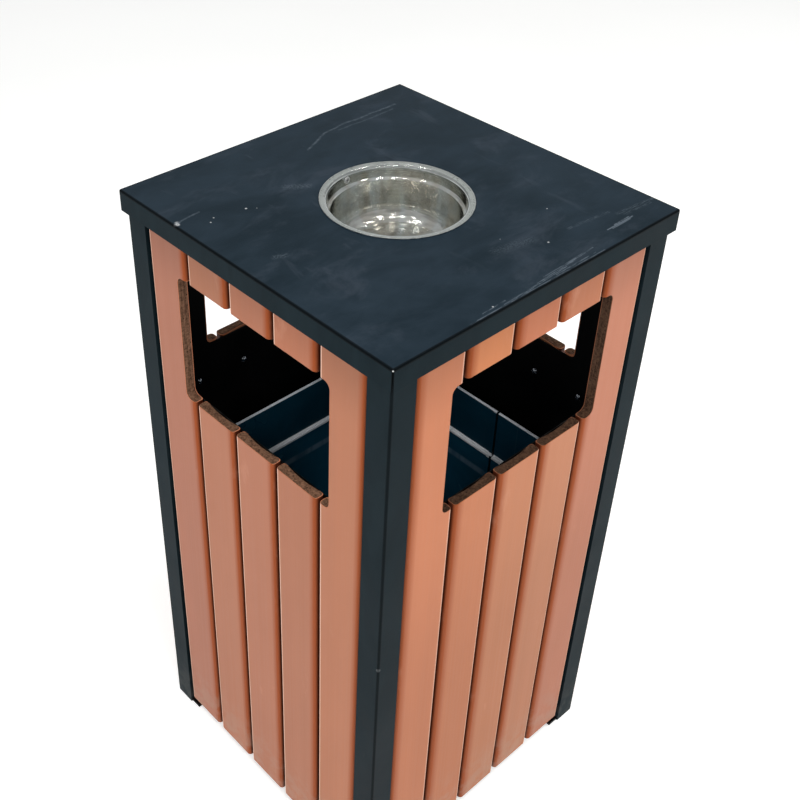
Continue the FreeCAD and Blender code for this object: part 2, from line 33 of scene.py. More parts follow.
class Graph:
    def __init__(self, name):
        self.mat = bpy.data.materials.new(name)
        self.mat.use_nodes = True
        self.t = self.mat.node_tree
        self.t.nodes.clear()
        self.out = self.t.nodes.new("ShaderNodeOutputMaterial")
        self.bsdf = self.t.nodes.new("ShaderNodeBsdfPrincipled")
        self.t.links.new(self.bsdf.outputs[0], self.out.inputs[0])
        tc = self.t.nodes.new("ShaderNodeTexCoord")
        self.P = tc.outputs["Object"]
        self.N = tc.outputs["Normal"]
        self.x, self.y, self.z = self.xyz(self.P)
        self.nx, self.ny, self.nz = self.xyz(self.N)

    def feed(self, sock, v):
        if is_sock(v):
            self.t.links.new(v, sock)
        else:
            sock.default_value = v

    def xyz(self, v):
        n = self.t.nodes.new("ShaderNodeSeparateXYZ")
        self.feed(n.inputs[0], v)
        return n.outputs[0], n.outputs[1], n.outputs[2]

    def vec(self, x, y, z):
        n = self.t.nodes.new("ShaderNodeCombineXYZ")
        self.feed(n.inputs[0], x)
        self.feed(n.inputs[1], y)
        self.feed(n.inputs[2], z)
        return n.outputs[0]

    def m(self, op, a, b=0.0, c=0.0, clamp=False):
        n = self.t.nodes.new("ShaderNodeMath")
        n.operation = op
        n.use_clamp = clamp
        self.feed(n.inputs[0], a)
        self.feed(n.inputs[1], b)
        self.feed(n.inputs[2], c)
        return n.outputs[0]

    def add(self, a, b): return self.m("ADD", a, b)
    def sub(self, a, b): return self.m("SUBTRACT", a, b)
    def mul(self, a, b): return self.m("MULTIPLY", a, b)
    def div(self, a, b): return self.m("DIVIDE", a, b)
    def absv(self, a): return self.m("ABSOLUTE", a)
    def mn(self, a, b): return self.m("MINIMUM", a, b)
    def mx(self, a, b): return self.m("MAXIMUM", a, b)
    def gt(self, a, b): return self.m("GREATER_THAN", a, b)
    def lt(self, a, b): return self.m("LESS_THAN", a, b)
    def inv(self, a): return self.m("SUBTRACT", 1.0, a)

    def ramp(self, v, a, b, lo=0.0, hi=1.0, smooth=True):
        n = self.t.nodes.new("ShaderNodeMapRange")
        n.interpolation_type = "SMOOTHSTEP" if smooth else "LINEAR"
        n.clamp = True
        self.feed(n.inputs[0], v)
        n.inputs[1].default_value = a
        n.inputs[2].default_value = b
        n.inputs[3].default_value = lo
        n.inputs[4].default_value = hi
        return n.outputs[0]

    def noise(self, v, scale, detail=2.0, rough=0.5, dist=0.0):
        n = self.t.nodes.new("ShaderNodeTexNoise")
        self.feed(n.inputs["Vector"], v)
        n.inputs["Scale"].default_value = scale
        n.inputs["Detail"].default_value = detail
        n.inputs["Roughness"].default_value = rough
        n.inputs["Distortion"].default_value = dist
        return n.outputs[0]

    def voronoi(self, v, scale, feature="F1", rand=1.0):
        n = self.t.nodes.new("ShaderNodeTexVoronoi")
        n.feature = feature
        self.feed(n.inputs["Vector"], v)
        n.inputs["Scale"].default_value = scale
        n.inputs["Randomness"].default_value = rand
        return n.outputs[0]

    def white(self, w):
        n = self.t.nodes.new("ShaderNodeTexWhiteNoise")
        n.noise_dimensions = "1D"
        self.feed(n.inputs["W"], w)
        return n.outputs[0]

    def mixc(self, f, a, b, kind="MIX"):
        n = self.t.nodes.new("ShaderNodeMix")
        n.data_type = "RGBA"
        n.blend_type = kind
        self.feed(n.inputs[0], f)
        self.feed(n.inputs[6], a if is_sock(a) else (*a, 1.0))
        self.feed(n.inputs[7], b if is_sock(b) else (*b, 1.0))
        return n.outputs[2]

    def mixf(self, f, a, b):
        n = self.t.nodes.new("ShaderNodeMix")
        n.data_type = "FLOAT"
        self.feed(n.inputs[0], f)
        self.feed(n.inputs[2], a)
        self.feed(n.inputs[3], b)
        return n.outputs[0]

    def scale(self, colour, f):
        """Colour times a grey factor."""
        n = self.t.nodes.new("ShaderNodeVectorMath")
        n.operation = "SCALE"
        self.feed(n.inputs[0], colour)
        self.feed(n.inputs["Scale"], f)
        return n.outputs[0]

    def bump(self, height, strength, distance, normal=None):
        n = self.t.nodes.new("ShaderNodeBump")
        n.inputs["Strength"].default_value = strength
        n.inputs["Distance"].default_value = distance
        self.feed(n.inputs["Height"], height)
        if normal is not None:
            self.feed(n.inputs["Normal"], normal)
        return n.outputs[0]

    def near(self, px, py, pz, r0, r1):
        """1 within r0 of a point, 0 beyond r1."""
        d = self.t.nodes.new("ShaderNodeVectorMath")
        d.operation = "DISTANCE"
        self.feed(d.inputs[0], self.P)
        d.inputs[1].default_value = (px, py, pz)
        return self.ramp(d.outputs["Value"], r0, r1, 1.0, 0.0)

    def stroke(self, x, y, a, b, w):
        """1 on the segment a-b in the XY plane, falling to 0 at distance w."""
        ax, ay = a
        bx, by = b
        dx, dy = bx - ax, by - ay
        l2 = dx * dx + dy * dy
        t = self.m("MULTIPLY_ADD", self.sub(x, ax), dx / l2,
                   self.mul(self.sub(y, ay), dy / l2))
        t = self.m("ADD", t, 0.0, clamp=True)
        ex = self.sub(self.sub(x, ax), self.mul(t, dx))
        ey = self.sub(self.sub(y, ay), self.mul(t, dy))
        d = self.m("SQRT", self.add(self.mul(ex, ex), self.mul(ey, ey)))
        return self.ramp(d, 0.0, w, 1.0, 0.0)

    def pick(self, i, colours):
        """Colour number i of a list."""
        n = self.t.nodes.new("ShaderNodeValToRGB")
        n.color_ramp.interpolation = "CONSTANT"
        el = n.color_ramp.elements
        while len(el) > 1:
            el.remove(el[-1])
        el[0].position = 0.0
        el[0].color = (*colours[0], 1.0)
        for j, c in enumerate(colours[1:], 1):
            e = el.new(j / len(colours))
            e.color = (*c, 1.0)
        self.feed(n.inputs[0], self.div(self.add(i, 0.5), float(len(colours))))
        return n.outputs[0]

    def set(self, **kw):
        names = {"base": "Base Color", "metal": "Metallic", "rough": "Roughness",
                 "spec": "Specular IOR Level", "coat": "Coat Weight",
                 "coat_rough": "Coat Roughness", "normal": "Normal", "ior": "IOR",
                 "aniso": "Anisotropic"}
        for k, v in kw.items():
            s = self.bsdf.inputs[names[k]]
            if k == "base" and not is_sock(v):
                v = (*v, 1.0)
            self.feed(s, v)
        return self.mat


def band(g, v, a, b, soft):
    """1 where a < v < b, with soft ends."""
    return g.mul(g.ramp(v, a - soft, a + soft), g.ramp(v, b - soft, b + soft, 1.0, 0.0))


# ---------------------------------------------------------------------------
# coats
# ---------------------------------------------------------------------------
def satin_coat(name, top):
    """Slate-black powder coat. top: the cover, with its handling marks."""
    g = Graph(name)
    peel = g.noise(g.P, 520.0, 2.0, 0.55)
    micro = g.noise(g.P, 1900.0, 1.0, 0.5)
    cloud = g.noise(g.P, 7.0, 4.0, 0.62, 0.6)
    smear = g.noise(g.vec(g.mul(g.x, 14.0), g.mul(g.y, 34.0), g.mul(g.z, 9.0)), 1.0, 4.0, 0.6, 0.8)
    cross = g.noise(g.vec(g.mul(g.x, 42.0), g.mul(g.y, 12.0), g.mul(g.z, 11.0)), 1.0, 3.0, 0.6, 0.5)
    mott = g.ramp(g.add(g.mul(cloud, 0.55), g.mul(smear, 0.45)), 0.36, 0.66)
    up = g.ramp(g.nz, 0.55, 0.95)
    side = g.mixc(g.ramp(smear, 0.35, 0.7), (0.0046, 0.0110, 0.0148), (0.0078, 0.0160, 0.0205))
    if not top:
        base = side
        rough = g.mixf(mott, 0.40, 0.50)
        # rubbed patches low on the posts
        rub = g.mul(g.ramp(g.noise(g.vec(g.mul(g.x, 70.0), g.mul(g.y, 70.0), g.mul(g.z, 16.0)), 1.0, 3.0, 0.6), 0.64, 0.74),
                    g.ramp(g.z, 0.55, 0.05, 0.0, 1.0))
        base = g.mixc(g.mul(rub, 0.35), base, (0.045, 0.056, 0.062))
        # small bare spot on the front arris
        spot = g.mx(g.near(-0.1945, -0.1945, 0.410, 0.0012, 0.0032), g.near(-0.1945, 0.1945, 0.236, 0.0008, 0.0022))
        base = g.mixc(g.mul(spot, 0.8), base, (0.20, 0.22, 0.23))
        # painted shade: the bend along the arris is a little darker
        bend_painted_shade = g.mul(g.ramp(g.absv(g.x), 0.1920, 0.1936), g.ramp(g.absv(g.y), 0.1920, 0.1936))
        base = g.mixc(g.mul(bend_painted_shade, 0.75), base, (0.0025, 0.004, 0.005))
        # dust and splashes at the foot
        foot = g.mul(g.ramp(g.z, 0.10, 0.0), g.ramp(g.noise(g.P, 60.0, 3.0, 0.6), 0.42, 0.62))
        base = g.mixc(g.mul(foot, 0.25), base, (0.10, 0.095, 0.085))
        n = g.bump(g.add(peel, g.mul(micro, 0.35)), 0.16, 0.0004)
        return g.set(base=base, rough=rough, spec=0.03, normal=n)

    topc = g.mixc(mott, (0.0082, 0.0178, 0.0272), (0.0180, 0.0312, 0.0455))
    base = g.mixc(up, side, topc)
    # hazy wiping marks
    haze = g.mul(g.ramp(g.noise(g.vec(g.mul(g.x, 11.0), g.mul(g.y, 20.0), g.z), 1.0, 5.0, 0.68, 0.45), 0.50, 0.74), up)
    base = g.mixc(g.mul(haze, 0.34), base, (0.062, 0.078, 0.104))
    dull = g.mul(g.ramp(cross, 0.62, 0.78), up)
    base = g.mixc(g.mul(dull, 0.32), base, (0.056, 0.072, 0.096))
    # wobbled coordinates let the marks wander and break
    wob = g.noise(g.P, 55.0, 3.0, 0.6)
    wob2 = g.noise(g.vec(g.y, g.z, g.x), 55.0, 3.0, 0.6)
    wx = g.add(g.x, g.mul(g.sub(wob, 0.5), 0.006))
    wy = g.add(g.y, g.mul(g.sub(wob2, 0.5), 0.006))
    grit = g.noise(g.P, 520.0, 3.0, 0.75)
    patch = g.noise(g.P, 130.0, 2.0, 0.6)
    streaky = g.noise(g.vec(g.mul(g.x, 110.0), g.mul(g.y, 1100.0), g.mul(g.z, 40.0)), 1.0, 3.0, 0.6)

    def runs(points, w, sx=wx, sy=wy):
        r = None
        for a, b in zip(points[:-1], points[1:]):
            s = g.stroke(sx, sy, a, b, w)
            r = s if r is None else g.mx(r, s)
        return r

    thin = runs([(0.0023, 0.1398), (0.0189, 0.1474), (0.0420, 0.1578), (0.0713, 0.1630),
                 (0.0984, 0.1614), (0.1547, 0.1621)], 0.0022)
    thin = g.mx(thin, g.mul(runs([(0.060, 0.1545), (0.1099, 0.1532), (0.1428, 0.1545)], 0.0020), 0.6))
    thin = g.mx(thin, runs([(-0.1969, 0.1034), (-0.1882, 0.1067), (-0.1772, 0.1086), (-0.1663, 0.1090)], 0.0018))
    thin = g.mul(thin, g.ramp(patch, 0.36, 0.58, 0.35, 1.0))
    breaks = g.noise(g.P, 170.0, 3.0, 0.65)
    along = g.noise(g.vec(g.mul(g.x, 85.0), g.mul(g.y, 900.0), g.mul(g.z, 50.0)), 1.0, 3.0, 0.6)
    broken = g.ramp(along, 0.43, 0.54)

    def lines(segs, w, sx=None, sy=None):
        r = None
        for (a, b, k) in segs:
            v = g.mul(g.stroke(g.x if sx is None else sx, g.y if sy is None else sy, a, b, w), k)
            r = v if r is None else g.mx(r, v)
        return r

    sx2 = g.add(g.x, g.mul(g.sub(wob, 0.5), 0.0006))
    sy2 = g.add(g.y, g.mul(g.sub(wob2, 0.5), 0.0006))
    rubs = lines([((0.112, -0.1767), (0.150, -0.1767), 1.0), ((0.118, -0.1785), (0.146, -0.1780), 0.8),
                  ((0.125, -0.1752), (0.148, -0.1745), 0.9), ((0.130, -0.1772), (0.152, -0.1764), 0.8)], 0.0013, sx2, sy2)
    soft = lines([((0.145, -0.1635), (0.196, -0.1680), 0.6), ((0.150, -0.1690), (0.188, -0.1712), 0.4),
                  ((0.085, -0.1500), (0.140, -0.1560), 0.4)], 0.0034, sx2, sy2)
    rubs = g.mx(g.mul(rubs, g.ramp(breaks, 0.36, 0.50, 0.3, 1.0)), g.mul(soft, g.ramp(streaky, 0.45, 0.66)))
    edge = lines([((-0.045, -0.1968), (0.030, -0.1925), 1.0), ((-0.030, -0.1952), (0.045, -0.1905), 0.8),
                  ((-0.012, -0.1935), (0.052, -0.1890), 0.9), ((0.000, -0.1905), (0.060, -0.1880), 0.7),
                  ((-0.085, -0.1935), (-0.055, -0.1925), 0.8), ((0.012, -0.1955), (0.070, -0.1945), 0.9), ((0.020, -0.1920), (0.075, -0.1876), 0.8),
                  ((-0.060, -0.1962), (0.004, -0.1936), 0.7)], 0.0011, sx2, sy2)
    edge = g.mul(edge, broken)
    lip = g.mul(lines([((-0.105, -0.1975), (0.080, -0.1978), 1.0)], 0.0014, sx2, sy2), g.ramp(along, 0.42, 0.54))
    faint = g.mx(g.stroke(wx, wy, (-0.068, 0.0915), (-0.050, 0.0790), 0.0085),
                 g.stroke(wx, wy, (-0.162, -0.0046), (-0.154, -0.0082), 0.0060))
    faint = g.mx(faint, g.mul(g.stroke(wx, wy, (0.000, -0.132), (0.042, -0.140), 0.010), 0.6))
    faint = g.mul(faint, g.ramp(grit, 0.42, 0.62))
    dots = None
    for px, py, r in ((-0.1267, 0.0843, 0.0016), (-0.1618, 0.0907, 0.0011), (-0.1692, 0.0855, 0.0012),
                      (0.0993, -0.1116, 0.0010), (0.0505, -0.1539, 0.0014), (-0.0705, -0.1919, 0.0012),
                      (-0.118, 0.078, 0.0007), (0.020, -0.120, 0.0006)):
        s = g.mul(g.near(px, py, 0.800, r * 0.45, r), g.ramp(grit, 0.34, 0.46, 0.35, 1.0))
        dots = s if dots is None else g.mx(dots, s)
    chip = g.near(-0.1966, 0.1034, 0.7995, 0.0016, 0.0040)
    chip = g.mx(chip, g.mul(g.near(-0.1945, 0.1065, 0.800, 0.0010, 0.0030), 0.7))
    chip = g.mul(chip, g.ramp(grit, 0.36, 0.50))
    marks = g.mx(g.mx(g.mul(thin, 0.36), g.mul(rubs, 0.80)), g.mx(g.mul(edge, 0.72), g.mul(lip, 0.60)))
    marks = g.mx(marks, g.mul(faint, 0.34))
    marks = g.mul(marks, up)
    base = g.mixc(marks, base, (0.150, 0.185, 0.225))
    base = g.mixc(g.mx(g.mul(dots, 0.9), g.mul(chip, 0.85)), base, (0.46, 0.48, 0.50))
    # painted shade as a dark line where the sheet is bent down, and a dark line at the corner seams
    ax, ay = g.absv(g.x), g.absv(g.y)
    edge_d = g.mx(ax, ay)
    bend_painted_shade = g.mul(band(g, edge_d, 0.1978, 0.2002, 0.0004), band(g, g.z, 0.7972, 0.8002, 0.0004))
    seam = g.mul(g.ramp(ax, 0.1978, 0.1988), g.ramp(ay, 0.1978, 0.1988))
    base = g.mixc(g.mul(g.mx(bend_painted_shade, seam), 0.85), base, (0.0012, 0.0018, 0.0022))
    # bare metal where each seam ends
    bare = None
    for sx, sy, k in ((-1, -1, 0.42), (1, -1, 0.55), (-1, 1, 0.5), (1, 1, 0.6)):
        a = g.near(sx * 0.1991, sy * 0.1991, 0.7985, 0.0012 * k, 0.0025 * k)
        b = g.near(sx * 0.2000, sy * 0.2000, 0.7768, 0.0008 * k, 0.0018 * k)
        s = g.mx(a, b)
        bare = s if bare is None else g.mx(bare, s)
    base = g.mixc(bare, base, (0.72, 0.73, 0.72))
    rough = g.mixf(mott, 0.36, 0.50)
    rough = g.add(rough, g.mul(haze, 0.10))
    rough = g.add(rough, g.mul(marks, 0.15))
    h = g.add(peel, g.mul(micro, 0.35))
    h = g.sub(h, g.mul(g.mx(marks, dots), 0.8))
    n = g.bump(h, 0.14, 0.0004)
    return g.set(base=base, rough=rough, spec=g.mixf(up, 0.025, 0.06), metal=g.mul(bare, 0.8), normal=n)


def matt_inner(name):
    g = Graph(name)
    cloud = g.noise(g.P, 11.0, 4.0, 0.6, 0.5)
    grain = g.noise(g.P, 700.0, 2.0, 0.6)
    base = g.mixc(g.ramp(cloud, 0.35, 0.7), (0.0010, 0.0011, 0.0013), (0.0026, 0.0027, 0.0030))
    dust = g.mul(g.ramp(g.nz, 0.6, 0.95), g.ramp(g.noise(g.P, 45.0, 4.0, 0.65), 0.45, 0.68))
    base = g.mixc(g.mul(dust, 0.22), base, (0.060, 0.056, 0.050))
    run = g.noise(g.vec(g.mul(g.x, 60.0), g.mul(g.y, 60.0), g.mul(g.z, 3.5)), 1.0, 3.0, 0.6)
    base = g.mixc(g.mul(g.ramp(run, 0.62, 0.78), 0.18), base, (0.022, 0.022, 0.023))
    rough = g.mixf(g.ramp(cloud, 0.3, 0.7), 0.58, 0.74)
    return g.set(base=base, rough=rough, spec=0.10, normal=g.bump(grain, 0.22, 0.0004))


# ---------------------------------------------------------------------------
# slats
# ---------------------------------------------------------------------------
PITCH, WIDTH, X0 = 0.0659, 0.0614, -0.1625
D_IN, D_OUT = 0.1815, 0.1935


def slat(name, ux, uy, dx, dy, seed, tints, near_low, z_top, edge_w, far_edge_painted_highlight, core_painted_light_gain, low_painted_shade):
    """Terracotta wood-plastic slats of one side. u runs along the side, d is outward."""
    g = Graph(name)
    u = g.add(g.mul(g.x, ux), g.mul(g.y, uy))
    d = g.add(g.mul(g.x, dx), g.mul(g.y, dy))
    nd = g.add(g.mul(g.nx, dx), g.mul(g.ny, dy))
    q = g.div(g.sub(u, X0), PITCH)
    idx = g.m("FLOOR", q)
    s = g.mul(g.m("FRACT", q), PITCH)
    # the short pieces over the opening come from other lengths than those below
    upper = g.mul(g.mul(g.gt(idx, 0.5), g.lt(idx, 3.5)), g.gt(g.z, 0.655))
    idx = g.add(idx, g.mul(upper, 4.0))
    r2 = g.white(g.add(idx, seed + 31.7))
    r3 = g.white(g.add(idx, seed + 77.3))
    base = g.pick(idx, tints)
    # soft bands drawn down each slat by the extrusion die
    seedv = g.add(g.mul(idx, 3.7), seed)
    wide = g.noise(g.vec(g.mul(s, 60.0), seedv, g.mul(g.z, 0.9)), 1.0, 1.0, 0.4)
    line = g.noise(g.vec(g.mul(s, 420.0), seedv, g.mul(g.z, 2.2)), 1.0, 2.0, 0.5)
    fine = g.noise(g.vec(g.mul(u, 2100.0), g.mul(d, 2100.0), g.mul(g.z, 34.0)), 1.0, 3.0, 0.6)
    fleck = g.noise(g.vec(g.mul(u, 900.0), g.mul(d, 900.0), g.mul(g.z, 260.0)), 1.0, 2.0, 0.7)
    shade = g.add(1.0, g.mul(g.sub(wide, 0.5), 0.10))
    shade = g.add(shade, g.mul(g.sub(line, 0.5), 0.045))
    shade = g.add(shade, g.mul(g.sub(fine, 0.5), 0.06))
    cloud = g.noise(g.vec(g.mul(u, 16.0), g.mul(d, 16.0), g.mul(g.z, 7.0)), 1.0, 4.0, 0.6, 0.5)
    shade = g.add(shade, g.mul(g.sub(cloud, 0.5), 0.12))
    # darker just under the skirt; a view-matched shading, not a known stain
    shade = g.mul(shade, g.ramp(g.z, z_top - 0.095, z_top - 0.020, 1.0, 0.78))
    # painted shade: darker toward the bottom
    shade = g.mul(shade, g.ramp(g.z, 0.60, 0.28, 1.0, low_painted_shade))
    base = g.scale(base, shade)
    base = g.mixc(g.mul(g.ramp(fleck, 0.70, 0.80), 0.22), base, (0.27, 0.095, 0.050))
    # painted shade along one long edge, painted highlight along the other; view-matched
    sn, sf = (s, g.sub(WIDTH, s)) if near_low else (g.sub(WIDTH, s), s)
    near_edge_painted_shade = g.ramp(sn, 0.003, edge_w, 0.92, 0.0, False)
    base = g.mixc(near_edge_painted_shade, base, (0.270, 0.050, 0.0040))
    base = g.mixc(g.mul(band(g, sf, 0.0014, 0.0040, 0.0007), far_edge_painted_highlight), base, (0.80, 0.50, 0.38))
    # dirt held in the joints between slats; the darkening under the cover is the painted shade above
    join = g.mx(g.ramp(s, 0.0006, 0.0046, 1.0, 0.0), g.ramp(g.sub(WIDTH, s), 0.0006, 0.0046, 1.0, 0.0))
    depth = g.ramp(d, D_OUT - 0.0052, D_OUT - 0.0008, 1.0, 0.0)
    dirt = g.mul(g.mul(join, depth), 0.93)
    base = g.mixc(dirt, base, (0.060, 0.013, 0.006))
    # handled and rubbed places beside the opening
    rub = g.mul(g.ramp(g.noise(g.vec(g.mul(u, 40.0), g.mul(d, 40.0), g.mul(g.z, 14.0)), 1.0, 4.0, 0.65), 0.62, 0.76),
                g.mixf(r3, 0.08, 0.24))
    base = g.mixc(rub, base, (0.60, 0.30, 0.20))
    foot = g.mul(g.ramp(g.z, 0.12, 0.012), g.ramp(g.noise(g.P, 50.0, 4.0, 0.6), 0.40, 0.62))
    base = g.mixc(g.mul(foot, 0.34), base, (0.36, 0.26, 0.20))

    # cut ends: brown core inside a thin shell
    inside = g.mul(g.lt(g.absv(u), 0.1164), g.mul(g.gt(g.z, 0.5766), g.lt(g.z, 0.7334)))
    ends = g.mx(g.gt(g.z, z_top - 0.0004), g.lt(g.z, 0.0144))
    cut = g.mul(g.mx(inside, ends), g.lt(nd, 0.55))
    rr = 0.0042
    qx = g.sub(g.absv(g.sub(s, WIDTH / 2)), WIDTH / 2 - rr)
    qy = g.sub(g.absv(g.sub(d, (D_IN + D_OUT) / 2)), 0.006 - rr)
    mxq, myq = g.mx(qx, 0.0), g.mx(qy, 0.0)
    far = g.m("SQRT", g.add(g.mul(mxq, mxq), g.mul(myq, myq)))
    sd = g.sub(g.add(far, g.mn(g.mx(qx, qy), 0.0)), rr)
    skin = g.ramp(g.mul(sd, -1.0), 0.00040, 0.00075, 1.0, 0.0)
    chew = g.noise(g.P, 330.0, 4.0, 0.7, 0.4)
    coarse = g.noise(g.P, 95.0, 3.0, 0.6)
    # saw marks: across the end cuts, along the length on the opening's sides
    wallcut = g.mul(inside, g.lt(g.absv(g.nz), 0.5))
    saw = g.noise(g.vec(g.mul(u, 380.0), g.mul(d, 380.0), g.mul(g.z, g.mixf(wallcut, 380.0, 22.0))), 1.0, 3.0, 0.65)
    core = g.mixc(g.ramp(g.add(g.mul(chew, 0.55), g.mul(saw, 0.45)), 0.36, 0.66), (0.034, 0.017, 0.010), (0.140, 0.072, 0.043))
    core = g.mixc(g.mul(g.ramp(coarse, 0.52, 0.72), 0.40), core, (0.150, 0.082, 0.052))
    core = g.mixc(g.ramp(g.voronoi(g.P, 520.0), 0.20, 0.10, 0.0, 0.40), core, (0.22, 0.120, 0.072))
    core = g.mixc(g.ramp(g.voronoi(g.P, 150.0), 0.17, 0.10, 0.0, 0.85), core, (0.010, 0.006, 0.004))
    core = g.mixc(g.mul(skin, 0.85), core, (0.42, 0.155, 0.080))
    # the per-side gain on the cut ends is painted light: brighter on the left, darker on the front
    base = g.mixc(cut, base, g.scale(core, core_painted_light_gain))
    rough = g.mixf(g.ramp(line, 0.3, 0.7), 0.52, 0.60)
    rough = g.mixf(cut, rough, 0.88)
    h = g.add(g.mul(fine, 0.5), g.mul(line, 0.5))
    h = g.mixf(cut, h, g.add(g.mul(chew, g.mixf(wallcut, 3.4, 1.4)), g.mul(saw, 2.4)))
    n = g.bump(h, 0.22, 0.0005)
    return g.set(base=base, rough=rough, spec=0.18, normal=n)


# ---------------------------------------------------------------------------
# metals and the small parts
# ---------------------------------------------------------------------------
def bright_zinc(name, tone=(0.62, 0.63, 0.64), rough=(0.26, 0.44)):
    g = Graph(name)
    a = g.noise(g.P, 260.0, 3.0, 0.6)
    b = g.voronoi(g.P, 620.0)
    base = g.mixc(g.ramp(a, 0.3, 0.7), tuple(c * 0.80 for c in tone), tone)
    base = g.mixc(g.mul(g.ramp(g.noise(g.P, 90.0, 3.0, 0.6), 0.60, 0.75), 0.5), base,
                  (tone[0] * 0.62, tone[1] * 0.58, tone[2] * 0.50))
    r = g.mixf(g.ramp(g.add(g.mul(a, 0.6), g.mul(b, 0.4)), 0.25, 0.65), rough[0], rough[1])
    return g.set(base=base, metal=1.0, rough=r, normal=g.bump(a, 0.12, 0.0003))


def polished_steel(name):
    g = Graph(name)
    rad = g.m("SQRT", g.add(g.mul(g.x, g.x), g.mul(g.y, g.y)))
    ang = g.m("ARCTAN2", g.y, g.x)
    spin = g.noise(g.vec(g.mul(rad, 1600.0), g.mul(g.z, 1600.0), g.mul(ang, 0.6)), 1.0, 2.0, 0.5)
    wave = g.noise(g.vec(g.mul(ang, 5.0), g.mul(rad, 26.0), g.mul(g.z, 46.0)), 1.0, 3.0, 0.55)
    wipe = g.noise(g.P, 55.0, 4.0, 0.65, 0.8)
    base = g.mixc(g.ramp(wipe, 0.40, 0.68), (0.56, 0.59, 0.59), (0.67, 0.70, 0.695))
    # painted reflection: the inside is brightened, with warm and cool bands down the wall
    inside_painted_reflection = g.ramp(g.z, 0.7975, 0.7935)
    painted_reflection_bands = g.noise(g.vec(g.mul(ang, 3.2), g.mul(rad, 4.0), g.mul(g.z, 9.0)), 1.0, 2.0, 0.5)
    base = g.mixc(g.mul(inside_painted_reflection, 0.75), base, g.mixc(g.ramp(painted_reflection_bands, 0.40, 0.62), (0.76, 0.73, 0.66), (0.82, 0.86, 0.86)))
    ash = g.mul(g.ramp(g.z, 0.748, 0.7405), g.ramp(g.noise(g.P, 140.0, 4.0, 0.7), 0.46, 0.66))
    base = g.mixc(g.mul(ash, 0.35), base, (0.22, 0.20, 0.175))
    rim = g.mul(g.ramp(rad, 0.0722, 0.0738), g.ramp(g.z, 0.8002, 0.8008))
    base = g.mixc(g.mul(rim, 0.5), base, (0.78, 0.79, 0.77))
    r = g.mixf(g.ramp(wipe, 0.35, 0.7), 0.085, 0.19)
    r = g.add(r, g.mul(g.ramp(spin, 0.4, 0.7), 0.05))
    r = g.add(r, g.mul(rim, 0.16))
    h = g.add(g.mul(spin, 0.08), g.mul(wave, 0.9))
    scr = g.noise(g.vec(g.mul(g.x, 240.0), g.mul(g.y, 1500.0), g.mul(g.z, 300.0)), 1.0, 2.0, 0.5)
    h = g.add(h, g.mul(g.ramp(scr, 0.68, 0.74), 0.10))
    return g.set(base=base, metal=1.0, rough=r, normal=g.bump(h, 0.20, 0.0006))


def chrome(name):
    g = Graph(name)
    a = g.noise(g.P, 300.0, 3.0, 0.6)
    spin = g.noise(g.vec(g.mul(g.x, 1500.0), 0.0, g.mul(g.z, 1500.0)), 1.0, 2.0, 0.5)
    base = g.mixc(g.ramp(a, 0.35, 0.7), (0.60, 0.61, 0.62), (0.72, 0.72, 0.72))
    r = g.mixf(g.ramp(g.add(g.mul(a, 0.5), g.mul(spin, 0.5)), 0.3, 0.7), 0.10, 0.26)
    return g.set(base=base, metal=1.0, rough=r, normal=g.bump(spin, 0.08, 0.0002))


def nylon(name):
    g = Graph(name)
    a = g.noise(g.P, 400.0, 3.0, 0.6)
    base = g.mixc(g.ramp(a, 0.35, 0.7), (0.60, 0.58, 0.52), (0.74, 0.72, 0.66))
    return g.set(base=base, rough=g.mixf(a, 0.42, 0.60), spec=0.4, normal=g.bump(a, 0.15, 0.0003))


